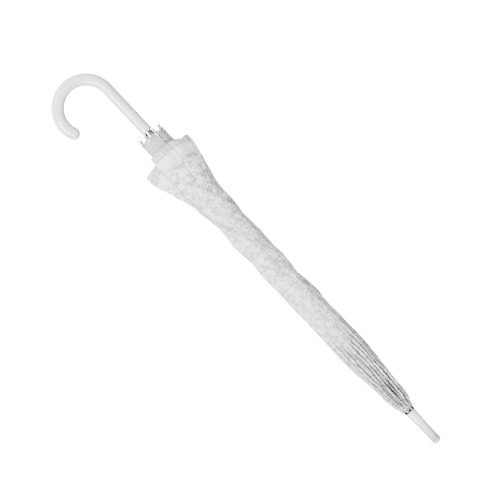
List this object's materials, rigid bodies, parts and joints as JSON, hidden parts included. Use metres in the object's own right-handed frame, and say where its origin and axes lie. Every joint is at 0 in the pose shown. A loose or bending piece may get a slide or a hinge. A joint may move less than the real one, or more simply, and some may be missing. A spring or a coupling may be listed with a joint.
{
  "type": "lace parasol",
  "caption": "Furled white lace parasol with a crook handle, a chrome shaft, hinged ribs and stretchers on a sliding runner, and a pleated lace canopy.",
  "frame": {"origin": "middle of the handle's straight grip, on the shaft's axis", "axes": "+Z along the shaft towards the ferrule, +X towards the side that the crook curls to"},
  "size_m": [0.1169, 0.071, 0.6687],
  "materials": {
    "handle_white": "glossy",
    "chrome": "polished",
    "rib_steel": "bright drawn wire",
    "runner_plastic": "moulded",
    "spring_steel": "bright",
    "lace": "embroidered lace",
    "ribbon": "satin ribbon",
    "snap_metal": "polished"
  },
  "bodies": {
    "root": {"handle": "handle_white", "handle_end_plug": "handle_white", "shaft": "chrome", "crown_notch": "runner_plastic", "crown_wire": "spring_steel", "crown_cap": "lace", "crown_ring": "chrome", "ferrule": "handle_white"},
    "runner": {"runner": "runner_plastic"},
    "bottom_catch": {"bottom_catch": "spring_steel"},
    "top_catch": {"top_catch": "spring_steel"},
    "rib_1": {"rib_1": "rib_steel", "rib_tip_1": "chrome", "rib_pin_1": "spring_steel", "tie_strap": "ribbon", "tie_snap": "snap_metal"},
    "rib_2": {"rib_2": "rib_steel", "rib_tip_2": "chrome", "rib_pin_2": "spring_steel"},
    "rib_3": {"rib_3": "rib_steel", "rib_tip_3": "chrome", "rib_pin_3": "spring_steel"},
    "rib_4": {"rib_4": "rib_steel", "rib_tip_4": "chrome", "rib_pin_4": "spring_steel"},
    "rib_5": {"rib_5": "rib_steel", "rib_tip_5": "chrome", "rib_pin_5": "spring_steel"},
    "rib_6": {"rib_6": "rib_steel", "rib_tip_6": "chrome", "rib_pin_6": "spring_steel"},
    "rib_7": {"rib_7": "rib_steel", "rib_tip_7": "chrome", "rib_pin_7": "spring_steel"},
    "rib_8": {"rib_8": "rib_steel", "rib_tip_8": "chrome", "rib_pin_8": "spring_steel"},
    "stretcher_1": {"stretcher_1": "rib_steel"},
    "stretcher_2": {"stretcher_2": "rib_steel"},
    "stretcher_3": {"stretcher_3": "rib_steel"},
    "stretcher_4": {"stretcher_4": "rib_steel"},
    "stretcher_5": {"stretcher_5": "rib_steel"},
    "stretcher_6": {"stretcher_6": "rib_steel"},
    "stretcher_7": {"stretcher_7": "rib_steel"},
    "stretcher_8": {"stretcher_8": "rib_steel"},
    "gore_1": {"gore_1": "lace"},
    "gore_2": {"gore_2": "lace"},
    "gore_3": {"gore_3": "lace"},
    "gore_4": {"gore_4": "lace"},
    "gore_5": {"gore_5": "lace"},
    "gore_6": {"gore_6": "lace"},
    "gore_7": {"gore_7": "lace"},
    "gore_8": {"gore_8": "lace"}
  },
  "joints": [
    {"name": "runner_slide", "type": "slide", "parent": "root", "child": "runner", "axis": [0, 0, 1], "range_m": [0, 0.3265]},
    {"name": "rib_1_hinge", "type": "hinge", "parent": "root", "child": "rib_1", "pos_m": [0.00647, 0.00268, 0.521], "axis": [0.3827, -0.9239, 0], "range_deg": [0, 80], "deforming": ["tie_strap"]},
    {"name": "rib_2_hinge", "type": "hinge", "parent": "root", "child": "rib_2", "pos_m": [0.00268, 0.00647, 0.521], "axis": [0.9239, -0.3827, 0], "range_deg": [0, 80]},
    {"name": "rib_3_hinge", "type": "hinge", "parent": "root", "child": "rib_3", "pos_m": [-0.00268, 0.00647, 0.521], "axis": [0.9239, 0.3827, 0], "range_deg": [0, 80]},
    {"name": "rib_4_hinge", "type": "hinge", "parent": "root", "child": "rib_4", "pos_m": [-0.00647, 0.00268, 0.521], "axis": [0.3827, 0.9239, 0], "range_deg": [0, 80]},
    {"name": "rib_5_hinge", "type": "hinge", "parent": "root", "child": "rib_5", "pos_m": [-0.00647, -0.00268, 0.521], "axis": [-0.3827, 0.9239, 0], "range_deg": [0, 80]},
    {"name": "rib_6_hinge", "type": "hinge", "parent": "root", "child": "rib_6", "pos_m": [-0.00268, -0.00647, 0.521], "axis": [-0.9239, 0.3827, 0], "range_deg": [0, 80]},
    {"name": "rib_7_hinge", "type": "hinge", "parent": "root", "child": "rib_7", "pos_m": [0.00268, -0.00647, 0.521], "axis": [-0.9239, -0.3827, 0], "range_deg": [0, 80]},
    {"name": "rib_8_hinge", "type": "hinge", "parent": "root", "child": "rib_8", "pos_m": [0.00647, -0.00268, 0.521], "axis": [-0.3827, -0.9239, 0], "range_deg": [0, 80]},
    {"name": "stretcher_1_pivot", "type": "hinge", "parent": "rib_1", "child": "stretcher_1", "pos_m": [0.00767, 0.00318, 0.306], "axis": [0.3827, -0.9239, 0], "range_deg": [-150.81, 0]},
    {"name": "stretcher_2_pivot", "type": "hinge", "parent": "rib_2", "child": "stretcher_2", "pos_m": [0.00318, 0.00767, 0.306], "axis": [0.9239, -0.3827, 0], "range_deg": [-150.81, 0]},
    {"name": "stretcher_3_pivot", "type": "hinge", "parent": "rib_3", "child": "stretcher_3", "pos_m": [-0.00318, 0.00767, 0.306], "axis": [0.9239, 0.3827, 0], "range_deg": [-150.81, 0]},
    {"name": "stretcher_4_pivot", "type": "hinge", "parent": "rib_4", "child": "stretcher_4", "pos_m": [-0.00767, 0.00318, 0.306], "axis": [0.3827, 0.9239, 0], "range_deg": [-150.81, 0]},
    {"name": "stretcher_5_pivot", "type": "hinge", "parent": "rib_5", "child": "stretcher_5", "pos_m": [-0.00767, -0.00318, 0.306], "axis": [-0.3827, 0.9239, 0], "range_deg": [-150.81, 0]},
    {"name": "stretcher_6_pivot", "type": "hinge", "parent": "rib_6", "child": "stretcher_6", "pos_m": [-0.00318, -0.00767, 0.306], "axis": [-0.9239, 0.3827, 0], "range_deg": [-150.81, 0]},
    {"name": "stretcher_7_pivot", "type": "hinge", "parent": "rib_7", "child": "stretcher_7", "pos_m": [0.00318, -0.00767, 0.306], "axis": [-0.9239, -0.3827, 0], "range_deg": [-150.81, 0]},
    {"name": "stretcher_8_pivot", "type": "hinge", "parent": "rib_8", "child": "stretcher_8", "pos_m": [0.00767, -0.00318, 0.306], "axis": [-0.3827, -0.9239, 0], "range_deg": [-150.81, 0]},
    {"name": "gore_1_spread", "type": "slide", "parent": "rib_1", "child": "gore_1", "axis": [-0.4023, 0.8288, 0.389], "range_m": [0, 0.3548], "deforming": ["gore_1"]},
    {"name": "gore_2_spread", "type": "slide", "parent": "rib_2", "child": "gore_2", "axis": [-0.8705, 0.3015, 0.389], "range_m": [0, 0.3548], "deforming": ["gore_2"]},
    {"name": "gore_3_spread", "type": "slide", "parent": "rib_3", "child": "gore_3", "axis": [-0.8288, -0.4023, 0.389], "range_m": [0, 0.3548], "deforming": ["gore_3"]},
    {"name": "gore_4_spread", "type": "slide", "parent": "rib_4", "child": "gore_4", "axis": [-0.3015, -0.8705, 0.389], "range_m": [0, 0.3548], "deforming": ["gore_4"]},
    {"name": "gore_5_spread", "type": "slide", "parent": "rib_5", "child": "gore_5", "axis": [0.4023, -0.8288, 0.389], "range_m": [0, 0.3548], "deforming": ["gore_5"]},
    {"name": "gore_6_spread", "type": "slide", "parent": "rib_6", "child": "gore_6", "axis": [0.8705, -0.3015, 0.389], "range_m": [0, 0.3548], "deforming": ["gore_6"]},
    {"name": "gore_7_spread", "type": "slide", "parent": "rib_7", "child": "gore_7", "axis": [0.8288, 0.4023, 0.389], "range_m": [0, 0.3548], "deforming": ["gore_7"]},
    {"name": "gore_8_spread", "type": "slide", "parent": "rib_8", "child": "gore_8", "axis": [0.3015, 0.8705, 0.389], "range_m": [0, 0.3548], "deforming": ["gore_8"]},
    {"name": "bottom_catch_press", "type": "slide", "parent": "root", "child": "bottom_catch", "axis": [-1, 0, 0], "range_m": [0, 0.0024], "stiffness_N_per_m": 700, "springref_m": -0.001},
    {"name": "top_catch_press", "type": "slide", "parent": "root", "child": "top_catch", "axis": [-1, 0, 0], "range_m": [0, 0.0024], "stiffness_N_per_m": 700, "springref_m": -0.001}
  ],
  "couplings": [
    {"joint": "rib_1_hinge", "follows": "runner_slide", "rad_per_m": 4.2764},
    {"joint": "rib_2_hinge", "follows": "runner_slide", "rad_per_m": 4.2764},
    {"joint": "rib_3_hinge", "follows": "runner_slide", "rad_per_m": 4.2764},
    {"joint": "rib_4_hinge", "follows": "runner_slide", "rad_per_m": 4.2764},
    {"joint": "rib_5_hinge", "follows": "runner_slide", "rad_per_m": 4.2764},
    {"joint": "rib_6_hinge", "follows": "runner_slide", "rad_per_m": 4.2764},
    {"joint": "rib_7_hinge", "follows": "runner_slide", "rad_per_m": 4.2764},
    {"joint": "rib_8_hinge", "follows": "runner_slide", "rad_per_m": 4.2764},
    {"joint": "stretcher_1_pivot", "follows": "runner_slide", "rad_per_m": -8.0614},
    {"joint": "stretcher_2_pivot", "follows": "runner_slide", "rad_per_m": -8.0614},
    {"joint": "stretcher_3_pivot", "follows": "runner_slide", "rad_per_m": -8.0614},
    {"joint": "stretcher_4_pivot", "follows": "runner_slide", "rad_per_m": -8.0614},
    {"joint": "stretcher_5_pivot", "follows": "runner_slide", "rad_per_m": -8.0614},
    {"joint": "stretcher_6_pivot", "follows": "runner_slide", "rad_per_m": -8.0614},
    {"joint": "stretcher_7_pivot", "follows": "runner_slide", "rad_per_m": -8.0614},
    {"joint": "stretcher_8_pivot", "follows": "runner_slide", "rad_per_m": -8.0614},
    {"joint": "gore_1_spread", "follows": "runner_slide", "ratio": 1.0867},
    {"joint": "gore_2_spread", "follows": "runner_slide", "ratio": 1.0867},
    {"joint": "gore_3_spread", "follows": "runner_slide", "ratio": 1.0867},
    {"joint": "gore_4_spread", "follows": "runner_slide", "ratio": 1.0867},
    {"joint": "gore_5_spread", "follows": "runner_slide", "ratio": 1.0867},
    {"joint": "gore_6_spread", "follows": "runner_slide", "ratio": 1.0867},
    {"joint": "gore_7_spread", "follows": "runner_slide", "ratio": 1.0867},
    {"joint": "gore_8_spread", "follows": "runner_slide", "ratio": 1.0867}
  ]
}
